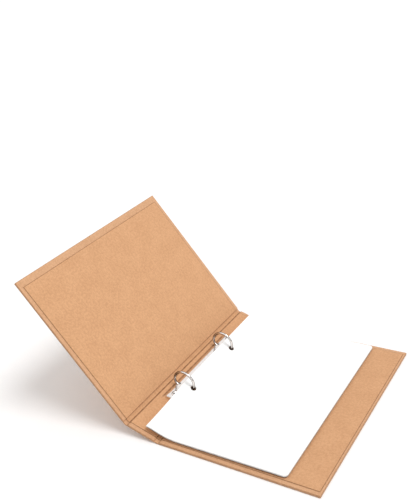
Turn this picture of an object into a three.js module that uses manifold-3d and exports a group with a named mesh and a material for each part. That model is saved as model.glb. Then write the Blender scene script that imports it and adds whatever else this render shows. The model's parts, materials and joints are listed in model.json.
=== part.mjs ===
// A ring-bound scrapbook album: two board covers and a board spine wrapped in kraft paper, a two-ring
// mechanism riveted to the spine, and punched pages. It lies open on its back cover, with the spine
// and the front cover raised. Millimetres, +Z up, +X from the hinge to the back cover's fore edge,
// +Y along the album's height. The origin is the centre of the back cover's face on the table.
import * as THREE from "three";
import { mergeVertices } from "three/addons/utils/BufferGeometryUtils.js";
import Module from "manifold-3d";

const wasm = await Module();
wasm.setup();

// Covers and spine
const HEIGHT = 232; // along Y, covers and spine
const COVER_WIDTH = 175;
const SPINE_WIDTH = 31;
const GROOVE = 8; // flexible paper between a cover and the spine
const BOARD = 1.9; // thickness of the greyboard
const PAPER = 0.25; // kraft paper, outside and lining
const GLUE = 0.1; // clearance between layers, and between layers and rivets
const TURN_IN = 15; // outer paper folded over the board's edges
const LINER_MARGIN_ENDS = 4.5; // bare turn-in beside the lining, at the album's two ends
const BACK_LINER_MARGIN = 2.2; // and at the back cover's fore edge
const FRONT_LINER_MARGIN = 8; // and at the front cover's fore edge

// Rest pose
const SPINE_LIFT = THREE.MathUtils.degToRad(18); // spine above the table
const COVER_LIFT = THREE.MathUtils.degToRad(36); // front cover above the spine's plane

// Ring mechanism
const RING_SPACING = 80; // ring to ring, the two-hole standard
const RIVET_SPACING = 111;
const RING_RADIUS = 12.2; // to the middle of the wire
const WIRE_RADIUS = 1.3;
const RING_FROM_PIVOT = 18.5; // ring centre from the back hinge, along the spine
const RING_HEIGHT = 13.2; // ring centre above the hinge axes, square to the spine
const TIP_GAP = 0.3; // between the two halves of a closed ring
const FOOT_LEAVES_RING = THREE.MathUtils.degToRad(-28); // below this the wire bends in to its blade
const ROUND_SHARE = 0.82; // share of a half ring's length that is round
const SHIELD_WIDTH = 17.5;
const SHIELD_HEIGHT = 5.5;
const SHIELD_LENGTH = 124;
const SHIELD_WALL = 0.8;
const SHIELD_SHOULDER = 2.2; // height of the straight side wall
const SHIELD_END_SLOPE = 5; // the top slopes down over this length at each end
const LIP_HEIGHT = 0.6; // curled edge below the blades
const LIP_WIDTH = 1.3;
const SLOT_BOTTOM = 1.4; // above the shield's foot
const SLOT_INNER = 4.2; // slots for the rings, inner end from the middle
const SLOT_CLEARANCE = 0.4; // beside the wire
const BLADE_LENGTH = 100;
const BLADE_THICKNESS = 0.8;
const BLADE_UNDERSIDE = 0.9; // above the shield's foot
const BLADE_INNER = 0.15; // inner edge from the middle
const BLADE_OUTER = 6.4; // outer edge from the middle
const FOOT_INNER = 4.6; // inner end of a ring's foot from the middle
const NECK_X = 5.3; // the foot's peg through its blade
const NECK_RADIUS = 0.9;
const NECK_BELOW_BLADE = 0.2;
const RIVET_HEAD_RADIUS = 4.25;
const RIVET_HEAD_HEIGHT = 1.4;
const RIVET_SHANK_RADIUS = 1.9;
const RIVET_FLANGE_RADIUS = 4.2;
const RIVET_FLANGE_HEIGHT = 0.9;
const RIVET_RIM = 0.3; // straight rim of the head, and bevel of the flange

// Pages
const PAGE_COUNT = 6;
const PAGE_WIDTH = 159;
const PAGE_HEIGHT = 220;
const PAGE_THICKNESS = 0.2;
const PAGE_PITCH = 0.32; // page to page in the pile
const PAGE_CORNER = 4;
const PAGE_SLOPE = THREE.MathUtils.degToRad(31); // the punched margin slopes down from the ring
const PAGE_START = 0.6; // binding edge from the ring's centre
const PAGE_STRAIGHT = 15; // the sloping stretch ends this far from the ring's centre
const PAGE_CLEARANCE = 1.6; // lowest page above the lining, room for the spine to be laid back
const HOLE_RADIUS = 3.25;

// Derived levels above a cover's outer face
const BOARD_BOTTOM = PAPER + GLUE;
const BOARD_TOP = BOARD_BOTTOM + BOARD;
const TURN_IN_TOP = BOARD_TOP + GLUE + PAPER;
const LINER_BOTTOM = TURN_IN_TOP + GLUE;
const LINER_TOP = LINER_BOTTOM + PAPER;
const PIVOT_LEVEL = 1.25; // hinge axes, in the middle of the cover's thickness
const SHIELD_FOOT = LINER_TOP + GLUE - PIVOT_LEVEL; // above the hinge axes
const SPINE_PITCH = SPINE_WIDTH + GROOVE; // hinge axis to hinge axis
const CUT = 1; // cutting solids run this far past what they cut

const kraftOutside = { color: 0xe3b48a, roughness: 0.88, metalness: 0 };
const kraftInside = { color: 0xdeab7f, roughness: 0.9, metalness: 0 };
const greyboard = { color: 0xa89b88, roughness: 0.95, metalness: 0 };
const nickel = { color: 0xd9d9d6, roughness: 0.22, metalness: 1 };
const bladeSteel = { color: 0xb9bbbd, roughness: 0.4, metalness: 1 };
const whitePaper = { color: 0xf7f6f3, roughness: 0.85, metalness: 0 };

// Helpers

function toSolid(geometry) {
  const bare = geometry.clone();
  bare.deleteAttribute("normal");
  bare.deleteAttribute("uv");
  const merged = mergeVertices(bare, 1e-4);
  return new wasm.Manifold(
    new wasm.Mesh({
      numProp: 3,
      vertProperties: new Float32Array(merged.attributes.position.array),
      triVerts: new Uint32Array(merged.index.array),
    }),
  );
}

function toGeometry(solid) {
  const mesh = solid.getMesh();
  const geometry = new THREE.BufferGeometry();
  geometry.setAttribute("position", new THREE.BufferAttribute(mesh.vertProperties, 3));
  geometry.setIndex(new THREE.BufferAttribute(mesh.triVerts, 1));
  const faceted = geometry.toNonIndexed();
  faceted.computeVertexNormals();
  return faceted;
}

function mesh(name, shape, finish) {
  const geometry = shape.isBufferGeometry ? shape : toGeometry(shape);
  const made = new THREE.Mesh(geometry, new THREE.MeshStandardMaterial(finish));
  made.name = name;
  return made;
}

// A box between two corners.
function box(x0, x1, y0, y1, z0, z1) {
  const geometry = new THREE.BoxGeometry(x1 - x0, y1 - y0, z1 - z0);
  return toSolid(geometry.translate((x0 + x1) / 2, (y0 + y1) / 2, (z0 + z1) / 2));
}

// An outline in the X-Z plane, extruded along Y and centred on Y = 0.
function alongY(points, length) {
  const shape = new THREE.Shape(points.map(([x, z]) => new THREE.Vector2(x, z)));
  const geometry = new THREE.ExtrudeGeometry(shape, { depth: length, bevelEnabled: false });
  return geometry.rotateX(Math.PI / 2).translate(0, length / 2, 0);
}

function rodAlongZ(x, y, z0, z1, radius, sides = 24) {
  const geometry = new THREE.CylinderGeometry(radius, radius, z1 - z0, sides);
  return toSolid(geometry.rotateX(Math.PI / 2).translate(x, y, (z0 + z1) / 2));
}

// Covers: built flat with the hinge edge at X = 0 and the board running to X = width * side.

function coverBoard(name, width, side) {
  const inset = PAPER + GLUE;
  const far = width - inset;
  const end = HEIGHT / 2 - inset;
  const [x0, x1] = side > 0 ? [0, far] : [-far, 0];
  return mesh(name, box(x0, x1, -end, end, BOARD_BOTTOM, BOARD_TOP), greyboard);
}

// The outer paper: one face, three edges and a turn-in along each of them.
function coverPaper(name, width, side) {
  const end = HEIGHT / 2;
  const span = (from, to) => (side > 0 ? [from, to] : [-to, -from]);
  const [x0, x1] = span(0, width);
  const [c0, c1] = span(-CUT, width - PAPER);
  const [w0, w1] = span(-CUT, width - TURN_IN);
  const outer = box(x0, x1, -end, end, 0, TURN_IN_TOP);
  const room = box(c0, c1, -end + PAPER, end - PAPER, PAPER, TURN_IN_TOP - PAPER);
  const window = box(w0, w1, -end + TURN_IN, end - TURN_IN, PAPER, TURN_IN_TOP + CUT);
  return mesh(name, outer.subtract(room).subtract(window), kraftOutside);
}

function coverLiner(name, width, margin, side) {
  const end = HEIGHT / 2 - LINER_MARGIN_ENDS;
  const far = width - margin;
  const [x0, x1] = side > 0 ? [0, far] : [-far, 0];
  return mesh(name, box(x0, x1, -end, end, LINER_BOTTOM, LINER_TOP), kraftInside);
}

// Spine: built flat between X = -GROOVE / 2 and X = -GROOVE / 2 - SPINE_WIDTH of the back hinge axis.

function rivetHoles(solid) {
  const radius = RIVET_SHANK_RADIUS + GLUE;
  const through = LINER_TOP + CUT;
  return [-1, 1].reduce(
    (cut, end) =>
      cut.subtract(rodAlongZ(-RING_FROM_PIVOT, (end * RIVET_SPACING) / 2, -through, through, radius)),
    solid,
  );
}

function spinePieces() {
  const right = -GROOVE / 2;
  const left = right - SPINE_WIDTH;
  const end = HEIGHT / 2;
  const level = (height) => height - PIVOT_LEVEL;
  const slab = (e, z0, z1) => box(left, right, -e, e, level(z0), level(z1));
  const room = box(
    left - CUT, right + CUT, -end + PAPER, end - PAPER, level(PAPER), level(TURN_IN_TOP - PAPER),
  );
  const window = box(
    left - CUT, right + CUT, -end + TURN_IN, end - TURN_IN, level(PAPER), level(TURN_IN_TOP + CUT),
  );
  const paper = slab(end, 0, TURN_IN_TOP).subtract(room).subtract(window);
  const board = slab(end - PAPER - GLUE, BOARD_BOTTOM, BOARD_TOP);
  const liner = slab(end - LINER_MARGIN_ENDS, LINER_BOTTOM, LINER_TOP);
  return [
    mesh("spine_board", rivetHoles(board), greyboard),
    mesh("spine_paper", rivetHoles(paper), kraftOutside),
    mesh("spine_liner", rivetHoles(liner), kraftInside),
  ];
}

// One layer of the paper hinge: an arc that leaves the right-hand board level and meets the
// left-hand board at the fold angle, with the hinge axis at the origin.
function hingeStrip(name, fold, offset, length, finish) {
  const reach = GROOVE / 2 - 2 * GLUE;
  const radius = reach / Math.tan(fold / 2);
  const steps = 8;
  const edge = (shift) =>
    Array.from({ length: steps + 1 }, (_, i) => {
      const turned = (fold * i) / steps;
      const r = radius - shift;
      return [reach - r * Math.sin(turned), radius - r * Math.cos(turned)];
    });
  const outline = [...edge(offset - PAPER / 2), ...edge(offset + PAPER / 2).reverse()];
  return mesh(name, toSolid(alongY(outline.reverse(), length)), finish);
}

function hingeStrips(prefix, fold) {
  const apart = (PAPER + GLUE) / 2;
  const linerLength = HEIGHT - 2 * LINER_MARGIN_ENDS;
  return [
    hingeStrip(prefix + "_hinge_paper", fold, -apart, HEIGHT, kraftOutside),
    hingeStrip(prefix + "_hinge_liner", fold, apart, linerLength, kraftInside),
  ];
}

// Ring mechanism: X = 0 is the middle of the shield and Z = 0 its foot on the spine's lining.

const RING_CENTRE_Z = RING_HEIGHT - SHIELD_FOOT;
const BLADE_TOP = BLADE_UNDERSIDE + BLADE_THICKNESS;
const FOOT_MIDDLE = BLADE_TOP + GLUE + WIRE_RADIUS; // middle of the wire where it lies on its blade

function archHalf(halfWidth, height, shoulder) {
  const steps = 12;
  return Array.from({ length: steps + 1 }, (_, i) => {
    const turned = (Math.PI * i) / steps;
    return [halfWidth * Math.cos(turned), shoulder + (height - shoulder) * Math.sin(turned)];
  });
}

function ringShield() {
  const half = SHIELD_WIDTH / 2;
  const inner = half - SHIELD_WALL;
  const outline = [
    [half, 0],
    ...archHalf(half, SHIELD_HEIGHT, SHIELD_SHOULDER),
    [-half, 0],
    [-inner + LIP_WIDTH, 0],
    [-inner + LIP_WIDTH, LIP_HEIGHT],
    [-inner, LIP_HEIGHT],
    ...archHalf(inner, SHIELD_HEIGHT - SHIELD_WALL, SHIELD_SHOULDER).reverse(),
    [inner, LIP_HEIGHT],
    [inner - LIP_WIDTH, LIP_HEIGHT],
    [inner - LIP_WIDTH, 0],
  ];
  const end = SHIELD_LENGTH / 2;
  const side = new THREE.Shape([
    new THREE.Vector2(-end, -CUT),
    new THREE.Vector2(end, -CUT),
    new THREE.Vector2(end, SHIELD_SHOULDER),
    new THREE.Vector2(end - SHIELD_END_SLOPE, SHIELD_HEIGHT + CUT),
    new THREE.Vector2(-end + SHIELD_END_SLOPE, SHIELD_HEIGHT + CUT),
    new THREE.Vector2(-end, SHIELD_SHOULDER),
  ]);
  const sideGeometry = new THREE.ExtrudeGeometry(side, { depth: 2 * SHIELD_WIDTH, bevelEnabled: false });
  sideGeometry.translate(0, 0, -SHIELD_WIDTH).rotateX(Math.PI / 2).rotateZ(Math.PI / 2);
  let shield = toSolid(alongY(outline, SHIELD_LENGTH)).intersect(toSolid(sideGeometry));
  const slot = WIRE_RADIUS + SLOT_CLEARANCE;
  const top = SHIELD_HEIGHT + CUT;
  for (const along of [-0.5, 0.5]) {
    const y = along * RING_SPACING;
    for (const [x0, x1] of [[SLOT_INNER, SHIELD_WIDTH], [-SHIELD_WIDTH, -SLOT_INNER]]) {
      shield = shield.subtract(box(x0, x1, y - slot, y + slot, SLOT_BOTTOM, top));
    }
    const hole = rodAlongZ(0, along * RIVET_SPACING, SHIELD_SHOULDER, top, RIVET_SHANK_RADIUS + GLUE);
    shield = shield.subtract(hole);
  }
  return mesh("ring_shield", shield, nickel);
}

function blade(name, hand) {
  const end = BLADE_LENGTH / 2;
  const [x0, x1] = hand > 0 ? [BLADE_INNER, BLADE_OUTER] : [-BLADE_OUTER, -BLADE_INNER];
  let strip = box(x0, x1, -end, end, BLADE_UNDERSIDE, BLADE_TOP);
  for (const y of [-RING_SPACING / 2, RING_SPACING / 2]) {
    const hole = rodAlongZ(hand * NECK_X, y, 0, BLADE_TOP + CUT, NECK_RADIUS + GLUE, 16);
    strip = strip.subtract(hole);
  }
  return mesh(name, strip, bladeSteel);
}

// The middle line of half a ring: the round part from the tip down, then a bend in to the foot.
class HalfRingLine extends THREE.Curve {
  constructor(hand) {
    super();
    this.hand = hand;
  }

  getPoint(t, target = new THREE.Vector3()) {
    const tip = Math.PI / 2 - TIP_GAP / 2 / RING_RADIUS;
    let x, z;
    if (t < ROUND_SHARE) {
      const angle = tip + (FOOT_LEAVES_RING - tip) * (t / ROUND_SHARE);
      x = RING_RADIUS * Math.cos(angle);
      z = RING_RADIUS * Math.sin(angle);
    } else {
      const u = (t - ROUND_SHARE) / (1 - ROUND_SHARE);
      const footZ = FOOT_MIDDLE - RING_CENTRE_Z;
      const startX = RING_RADIUS * Math.cos(FOOT_LEAVES_RING);
      const startZ = RING_RADIUS * Math.sin(FOOT_LEAVES_RING);
      const cornerX = startX + (footZ - startZ) * -Math.tan(FOOT_LEAVES_RING);
      x = (1 - u) ** 2 * startX + 2 * u * (1 - u) * cornerX + u * u * FOOT_INNER;
      z = (1 - u) ** 2 * startZ + 2 * u * (1 - u) * footZ + u * u * footZ;
    }
    return target.set(this.hand * x, 0, z + RING_CENTRE_Z);
  }
}

function halfRing(name, hand, y) {
  const sides = 12;
  const section = new THREE.Shape(
    Array.from({ length: sides }, (_, i) => {
      const turned = (2 * Math.PI * i) / sides;
      return new THREE.Vector2(WIRE_RADIUS * Math.cos(turned), WIRE_RADIUS * Math.sin(turned));
    }),
  );
  const wire = new THREE.ExtrudeGeometry(section, {
    steps: 30,
    extrudePath: new HalfRingLine(hand),
    bevelEnabled: false,
  });
  const neckBottom = BLADE_UNDERSIDE - NECK_BELOW_BLADE;
  const neck = rodAlongZ(hand * NECK_X, 0, neckBottom, FOOT_MIDDLE, NECK_RADIUS, 16);
  const half = mesh(name, toSolid(wire).add(neck), nickel);
  half.position.y = y;
  return half;
}

// Domed head outside the spine, shank through spine and shield, upset flange inside.
function rivet(name, y) {
  const headTop = -PIVOT_LEVEL - SHIELD_FOOT - GLUE;
  const flangeBottom = SHIELD_HEIGHT + GLUE;
  const domeSteps = 6;
  const dome = Array.from({ length: domeSteps + 1 }, (_, i) => {
    const turned = (Math.PI / 2) * (i / domeSteps);
    return [
      RIVET_HEAD_RADIUS * Math.sin(turned),
      headTop - RIVET_RIM - (RIVET_HEAD_HEIGHT - RIVET_RIM) * Math.cos(turned),
    ];
  });
  const profile = [
    ...dome,
    [RIVET_HEAD_RADIUS, headTop],
    [RIVET_SHANK_RADIUS, headTop],
    [RIVET_SHANK_RADIUS, flangeBottom],
    [RIVET_FLANGE_RADIUS, flangeBottom],
    [RIVET_FLANGE_RADIUS - RIVET_RIM, flangeBottom + RIVET_FLANGE_HEIGHT],
    [0, flangeBottom + RIVET_FLANGE_HEIGHT],
  ];
  const points = profile.map(([r, z]) => new THREE.Vector2(r, z));
  const geometry = new THREE.LatheGeometry(points, 32).rotateX(Math.PI / 2);
  const made = mesh(name, toSolid(geometry), nickel);
  made.position.y = y;
  return made;
}

// Pages: X = 0, Z = 0 is the centre of the rings, and the flat stretch is parallel to the back cover.

function pageLine(offset) {
  const pivotToLining = ringCentreAboveTable() - LINER_TOP;
  const pile = (PAGE_COUNT - 1) * PAGE_PITCH + PAGE_THICKNESS;
  const flatZ = -pivotToLining + PAGE_CLEARANCE + pile / 2;
  const [c, s] = [Math.cos(PAGE_SLOPE), Math.sin(PAGE_SLOPE)];
  const bend = (-flatZ - PAGE_STRAIGHT * s) / (1 - c);
  const flatStart = PAGE_STRAIGHT * c + bend * s;
  const flatLength = PAGE_WIDTH - (PAGE_STRAIGHT - PAGE_START) - bend * PAGE_SLOPE;
  const steps = 10;
  const line = [[PAGE_START * c + offset * s, -PAGE_START * s + offset * c]];
  for (let i = 0; i <= steps; i++) {
    const turned = PAGE_SLOPE * (1 - i / steps);
    const r = bend - offset;
    line.push([flatStart - r * Math.sin(turned), flatZ + bend - r * Math.cos(turned)]);
  }
  line.push([flatStart + flatLength, flatZ + offset]);
  return line;
}

function ringCentreAboveTable() {
  return (
    PIVOT_LEVEL + RING_FROM_PIVOT * Math.sin(SPINE_LIFT) + RING_HEIGHT * Math.cos(SPINE_LIFT)
  );
}

// The plan of a page as a tall block: square at the binding edge, round at the two outer corners.
function pagePlan(reach) {
  const end = PAGE_HEIGHT / 2;
  const tall = 2 * RING_HEIGHT;
  const shape = new THREE.Shape();
  shape.moveTo(-CUT, -end);
  shape.lineTo(reach - PAGE_CORNER, -end);
  shape.absarc(reach - PAGE_CORNER, -end + PAGE_CORNER, PAGE_CORNER, -Math.PI / 2, 0, false);
  shape.lineTo(reach, end - PAGE_CORNER);
  shape.absarc(reach - PAGE_CORNER, end - PAGE_CORNER, PAGE_CORNER, 0, Math.PI / 2, false);
  shape.lineTo(-CUT, end);
  const geometry = new THREE.ExtrudeGeometry(shape, {
    depth: 2 * tall,
    bevelEnabled: false,
    curveSegments: 6,
  });
  return toSolid(geometry.translate(0, 0, -tall));
}

function page(number) {
  const offset = ((PAGE_COUNT + 1) / 2 - number) * PAGE_PITCH;
  const lower = pageLine(offset - PAGE_THICKNESS / 2);
  const upper = pageLine(offset + PAGE_THICKNESS / 2);
  const sheet = toSolid(alongY([...lower, ...upper.reverse()], PAGE_HEIGHT));
  const reach = lower[lower.length - 1][0];
  let made = sheet.intersect(pagePlan(reach));
  const punch = new THREE.CylinderGeometry(HOLE_RADIUS, HOLE_RADIUS, 2 * HOLE_RADIUS, 24)
    .rotateX(Math.PI / 2)
    .rotateY(PAGE_SLOPE)
    .translate(RING_RADIUS * Math.cos(PAGE_SLOPE), 0, -RING_RADIUS * Math.sin(PAGE_SLOPE));
  for (const y of [-RING_SPACING / 2, RING_SPACING / 2]) {
    made = made.subtract(toSolid(punch.clone().translate(0, y, 0)));
  }
  return mesh("page_" + number, made, whitePaper);
}

// Assembly: each group stands at a hinge and turns what it carries to the rest pose.

function backCover() {
  const group = new THREE.Group();
  group.position.x = -COVER_WIDTH / 2;
  group.add(
    coverBoard("back_board", COVER_WIDTH, 1),
    coverPaper("back_cover_paper", COVER_WIDTH, 1),
    coverLiner("back_liner", COVER_WIDTH, BACK_LINER_MARGIN, 1),
  );
  return group;
}

function frontCover() {
  const panel = new THREE.Group();
  panel.position.set(-GROOVE / 2, 0, -PIVOT_LEVEL);
  panel.add(
    coverBoard("front_board", COVER_WIDTH, -1),
    coverPaper("front_cover_paper", COVER_WIDTH, -1),
    coverLiner("front_liner", COVER_WIDTH, FRONT_LINER_MARGIN, -1),
  );
  const group = new THREE.Group();
  group.position.x = -SPINE_PITCH;
  group.rotation.y = COVER_LIFT;
  group.add(panel);
  return group;
}

function ringMechanism() {
  const group = new THREE.Group();
  group.position.set(-RING_FROM_PIVOT, 0, SHIELD_FOOT);
  group.add(ringShield(), blade("blade_left", -1), blade("blade_right", 1));
  for (const [end, word] of [[-1, "near"], [1, "far"]]) {
    group.add(
      halfRing("half_ring_left_" + word, -1, (end * RING_SPACING) / 2),
      halfRing("half_ring_right_" + word, 1, (end * RING_SPACING) / 2),
      rivet("rivet_" + word, (end * RIVET_SPACING) / 2),
    );
  }
  return group;
}

function pages() {
  const group = new THREE.Group();
  group.position.set(-RING_FROM_PIVOT, 0, RING_HEIGHT);
  group.rotation.y = -SPINE_LIFT;
  for (let number = 1; number <= PAGE_COUNT; number++) group.add(page(number));
  return group;
}

function album() {
  const frontHinge = new THREE.Group();
  frontHinge.position.x = -SPINE_PITCH;
  frontHinge.add(...hingeStrips("front", COVER_LIFT));

  const spine = new THREE.Group();
  spine.rotation.y = SPINE_LIFT;
  spine.add(...spinePieces(), frontHinge, frontCover(), ringMechanism(), pages());

  const backHinge = new THREE.Group();
  backHinge.position.set(-COVER_WIDTH / 2 - GROOVE / 2, 0, PIVOT_LEVEL);
  backHinge.add(...hingeStrips("back", SPINE_LIFT), spine);

  const whole = new THREE.Group();
  whole.add(backCover(), backHinge);
  return whole;
}

export default album();
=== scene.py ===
"""A ring-bound scrapbook album in kraft paper, lying open on a pale table.

Sizes are in metres unless a name says otherwise. A cover is built flat, with X from its hinge edge
to its fore edge, Y along the album's height and Z up from its outer face, and then put in place.
"""

import json
import math

import bmesh
import bpy
from bpy.props import FloatProperty, FloatVectorProperty, PointerProperty
from mathutils import Matrix, Quaternion, Vector, noise


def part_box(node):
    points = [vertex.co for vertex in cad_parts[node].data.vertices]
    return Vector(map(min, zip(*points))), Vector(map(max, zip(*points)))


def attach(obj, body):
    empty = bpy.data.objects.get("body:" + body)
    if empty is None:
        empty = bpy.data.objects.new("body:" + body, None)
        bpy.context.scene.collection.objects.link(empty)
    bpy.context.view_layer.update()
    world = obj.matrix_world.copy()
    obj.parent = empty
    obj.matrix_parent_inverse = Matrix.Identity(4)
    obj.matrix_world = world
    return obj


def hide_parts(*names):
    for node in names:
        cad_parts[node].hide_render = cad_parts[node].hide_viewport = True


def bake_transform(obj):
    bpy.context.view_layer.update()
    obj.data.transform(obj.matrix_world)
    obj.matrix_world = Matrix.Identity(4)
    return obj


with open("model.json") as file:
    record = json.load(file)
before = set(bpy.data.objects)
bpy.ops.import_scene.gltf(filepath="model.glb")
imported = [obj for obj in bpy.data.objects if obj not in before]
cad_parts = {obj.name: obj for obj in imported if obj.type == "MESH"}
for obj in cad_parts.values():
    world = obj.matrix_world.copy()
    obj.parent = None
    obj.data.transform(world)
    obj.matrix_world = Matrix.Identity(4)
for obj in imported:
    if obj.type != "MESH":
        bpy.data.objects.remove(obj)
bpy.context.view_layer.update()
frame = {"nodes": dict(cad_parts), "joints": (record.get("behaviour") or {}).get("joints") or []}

bl_info = {
    "name": "Scrapbook Album",
    "version": (1, 0, 0),
    "blender": (4, 5, 0),
    "location": "View3D > Sidebar > Album",
    "description": "Builds a two-ring scrapbook album with kraft covers, nickel rings "
    "and punched pages",
    "category": "Object",
}

MM = 0.001

# The frame's own places. The front cover is raised more than the spine by COVER_LIFT.
PIVOTS = {joint["name"]: Vector(joint["pos_m"]) for joint in frame["joints"]}
BACK_PIVOT = PIVOTS["back_hinge"]
FRONT_PIVOT = PIVOTS["front_hinge"]
SPINE_PITCH = (FRONT_PIVOT - BACK_PIVOT).length
SPINE_LIFT = math.atan2(FRONT_PIVOT.z - BACK_PIVOT.z, BACK_PIVOT.x - FRONT_PIVOT.x)
COVER_LIFT = math.radians(36)
BACK_LOW, BACK_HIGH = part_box("back_cover_paper")
COVER_WIDTH = BACK_HIGH.x - BACK_LOW.x
HALF_HEIGHT = BACK_HIGH.y
WRAP_TOP = BACK_HIGH.z  # inner face of the turned-in paper
LINER_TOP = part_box("back_liner")[1].z
HALF_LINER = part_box("back_liner")[1].y
BACK_LINER_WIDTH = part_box("back_liner")[1].x - BACK_LOW.x
PIVOT_LEVEL = BACK_PIVOT.z
HALF_GROOVE = BACK_LOW.x - BACK_PIVOT.x
LINER_MARGIN_FRONT = 8 * MM

# Ring mechanism, as the frame has it
RING_FROM_PIVOT = 18.5 * MM
RING_HEIGHT = 13.2 * MM
SHIELD_FOOT = 1.8 * MM
RING_SPACING = 80 * MM
RIVET_SPACING = 111 * MM
BLADE_TOP = 1.7 * MM

SPINE_FRAME = Matrix.Translation(BACK_PIVOT) @ Matrix.Rotation(SPINE_LIFT, 4, "Y")
FRONT_HINGE_FRAME = SPINE_FRAME @ Matrix.Translation((-SPINE_PITCH, 0, 0))
FRONT_FRAME = FRONT_HINGE_FRAME @ Matrix.Rotation(COVER_LIFT, 4, "Y")
BACK_HINGE_FRAME = Matrix.Translation(BACK_PIVOT)
BACK_PANEL = Matrix.Translation((BACK_LOW.x, 0, 0))
SPINE_PANEL = SPINE_FRAME @ Matrix.Translation((0, 0, -PIVOT_LEVEL))
FRONT_PANEL = (
    FRONT_FRAME
    @ Matrix.Translation((-HALF_GROOVE, 0, -PIVOT_LEVEL))
    @ Matrix.Rotation(math.pi, 4, "Z")
)
RING_FRAME = SPINE_FRAME @ Matrix.Translation((-RING_FROM_PIVOT, 0, SHIELD_FOOT))
RING_CENTRE = SPINE_FRAME @ Vector((-RING_FROM_PIVOT, 0, RING_HEIGHT))

OVERLAP = 1.5 * MM  # the hinge paper runs on over the boards this far
GLUE = 0.1 * MM  # clearance between layers
SHIELD_SHOULDER = 2.2 * MM  # height of the ring cover's straight side wall
SHIELD_END_SLOPE = 5 * MM  # the ring cover's top falls over this length at each end
PIERCED_RADIUS = 2 * MM  # holes for the rivets, in the papers and in the ring cover
SHANK_RADIUS = 1.9 * MM
FLANGE_RADIUS = 4.2 * MM

# Pages
PAGE_SLOPE = math.radians(31)  # the punched margin slopes down from the ring
PAGE_WIDTH = 159 * MM
HALF_PAGE = 110 * MM
PAGE_START = 0.6 * MM  # binding edge from the ring's centre
PAGE_STRAIGHT = 15 * MM  # the sloping stretch ends this far from the ring's centre
PAGE_CLEARANCE = 1.6 * MM  # lowest page above the lining
OUTER_SHEET = 0.6  # moves the outer paper's pattern away from the lining's


# Settings


def metres(name, description, default, precision=4):
    return FloatProperty(
        name=name, description=description, default=default, precision=precision, unit="LENGTH"
    )


def rgb(name, description, default):
    return FloatVectorProperty(
        name=name, description=description, subtype="COLOR", size=3, min=0, max=1,
        default=default,
    )


class AlbumCoverSettings(bpy.types.PropertyGroup):
    """Sizes and colours of the covers, the spine and the hinges"""

    paper: FloatProperty(
        name="Paper thickness", description="Thickness of the kraft paper", default=0.25 * MM,
        min=0.0001, precision=5, unit="LENGTH",
    )
    turn_in: metres("Turn-in", "Width of the outer paper folded over the boards", 15 * MM)
    edge_radius: metres("Edge radius", "Rounding of the paper round a board's edge", 0.6 * MM, 5)
    fold_step: metres(
        "Corner fold step", "Height of one turned-in flap over the other at a corner", 0.14 * MM, 5
    )
    liner_step: metres(
        "Lining step", "Rise of the lining where the turn-in lies under it", 0.15 * MM, 5
    )
    cockle: metres("Cockle", "Height of the soft waves in the pasted lining", 0.07 * MM, 5)
    groove_fill: metres(
        "Groove fill", "Height of the wrap's inner face above its outer in a hinge", 1.35 * MM, 5
    )
    groove_recess: metres(
        "Groove recess", "How far the outer paper is pressed in at a hinge", 0.35 * MM, 5
    )
    outer_colour: rgb("Outer paper", "Colour of the outer kraft paper", (0.71, 0.41, 0.23))
    lining_colour: rgb("Lining", "Colour of the kraft lining", (0.71, 0.395, 0.207))
    board_colour: rgb("Greyboard", "Colour of the boards", (0.39, 0.33, 0.26))


class AlbumRingSettings(bpy.types.PropertyGroup):
    """Sizes and colours of the ring mechanism"""

    ring_radius: metres("Ring radius", "Radius to the middle of the wire", 12.2 * MM)
    wire_radius: metres("Wire radius", "Radius of the ring's wire", 1.3 * MM)
    tip_gap: metres("Tip gap", "Gap between the tips of a closed ring", 0.08 * MM, 5)
    shield_width: metres("Shield width", "Width of the metal cover over the blades", 17.5 * MM)
    shield_height: metres("Shield height", "Height of the metal cover", 5.5 * MM)
    shield_length: metres("Shield length", "Length of the metal cover", 124 * MM)
    shield_wall: metres("Shield wall", "Thickness of the metal cover", 0.8 * MM, 5)
    rivet_radius: metres(
        "Rivet head radius", "Radius of a rivet's head outside the spine", 4.25 * MM
    )
    rivet_height: metres("Rivet head height", "Height of a rivet's head", 1.4 * MM)
    nickel_colour: rgb("Nickel", "Colour of the plated metal", (0.84, 0.79, 0.765))
    steel_colour: rgb("Blade steel", "Colour of the bare blades", (0.46, 0.47, 0.48))


class AlbumPageSettings(bpy.types.PropertyGroup):
    """Sizes and colour of the pages"""

    thickness: metres("Page thickness", "Thickness of one page", 0.2 * MM, 5)
    pitch: metres("Page pitch", "Distance from page to page in the pile", 0.32 * MM, 5)
    corner: metres("Corner radius", "Radius of a page's two outer corners", 4 * MM)
    hole: metres("Hole radius", "Radius of the punched holes", 3.25 * MM)
    bulge: metres(
        "Bulge", "Rise of the pages at the far side, between rings and fore edge", 1.8 * MM
    )
    skew: FloatProperty(
        name="Skew", description="Turn of the pages on the rings, within the holes' play",
        default=math.radians(0.25), unit="ROTATION",
    )
    droop: metres("Corner droop", "Drop of the free near corner beside the rings", 4.9 * MM)
    colour: rgb("Page paper", "Colour of the pages", (0.97, 0.967, 0.96))


class AlbumStageSettings(bpy.types.PropertyGroup):
    """Table, light and camera"""

    floor_colour: rgb("Table", "Colour of the table", (0.97, 0.97, 0.97))
    sky: FloatProperty(
        name="Room light", description="Strength of the even light from all round", default=0.74,
    )
    key: FloatProperty(
        name="Key light", description="Strength of the soft light from one side", default=1.45,
    )
    lens: FloatProperty(
        name="Lens", description="Focal length of the camera", default=50.89, unit="CAMERA",
    )


# Small helpers


LOOK = "album_"  # starts the name of every material made here


def material_of(name):
    return bpy.data.materials[LOOK + name]


def smooth(value, low, high):
    """0 below low, 1 above high, and an even turn in between."""
    share = min(1.0, max(0.0, (value - low) / (high - low)))
    return share * share * (3 - 2 * share)


def steps(low, high, count):
    return [low + (high - low) * i / count for i in range(count + 1)]


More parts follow.
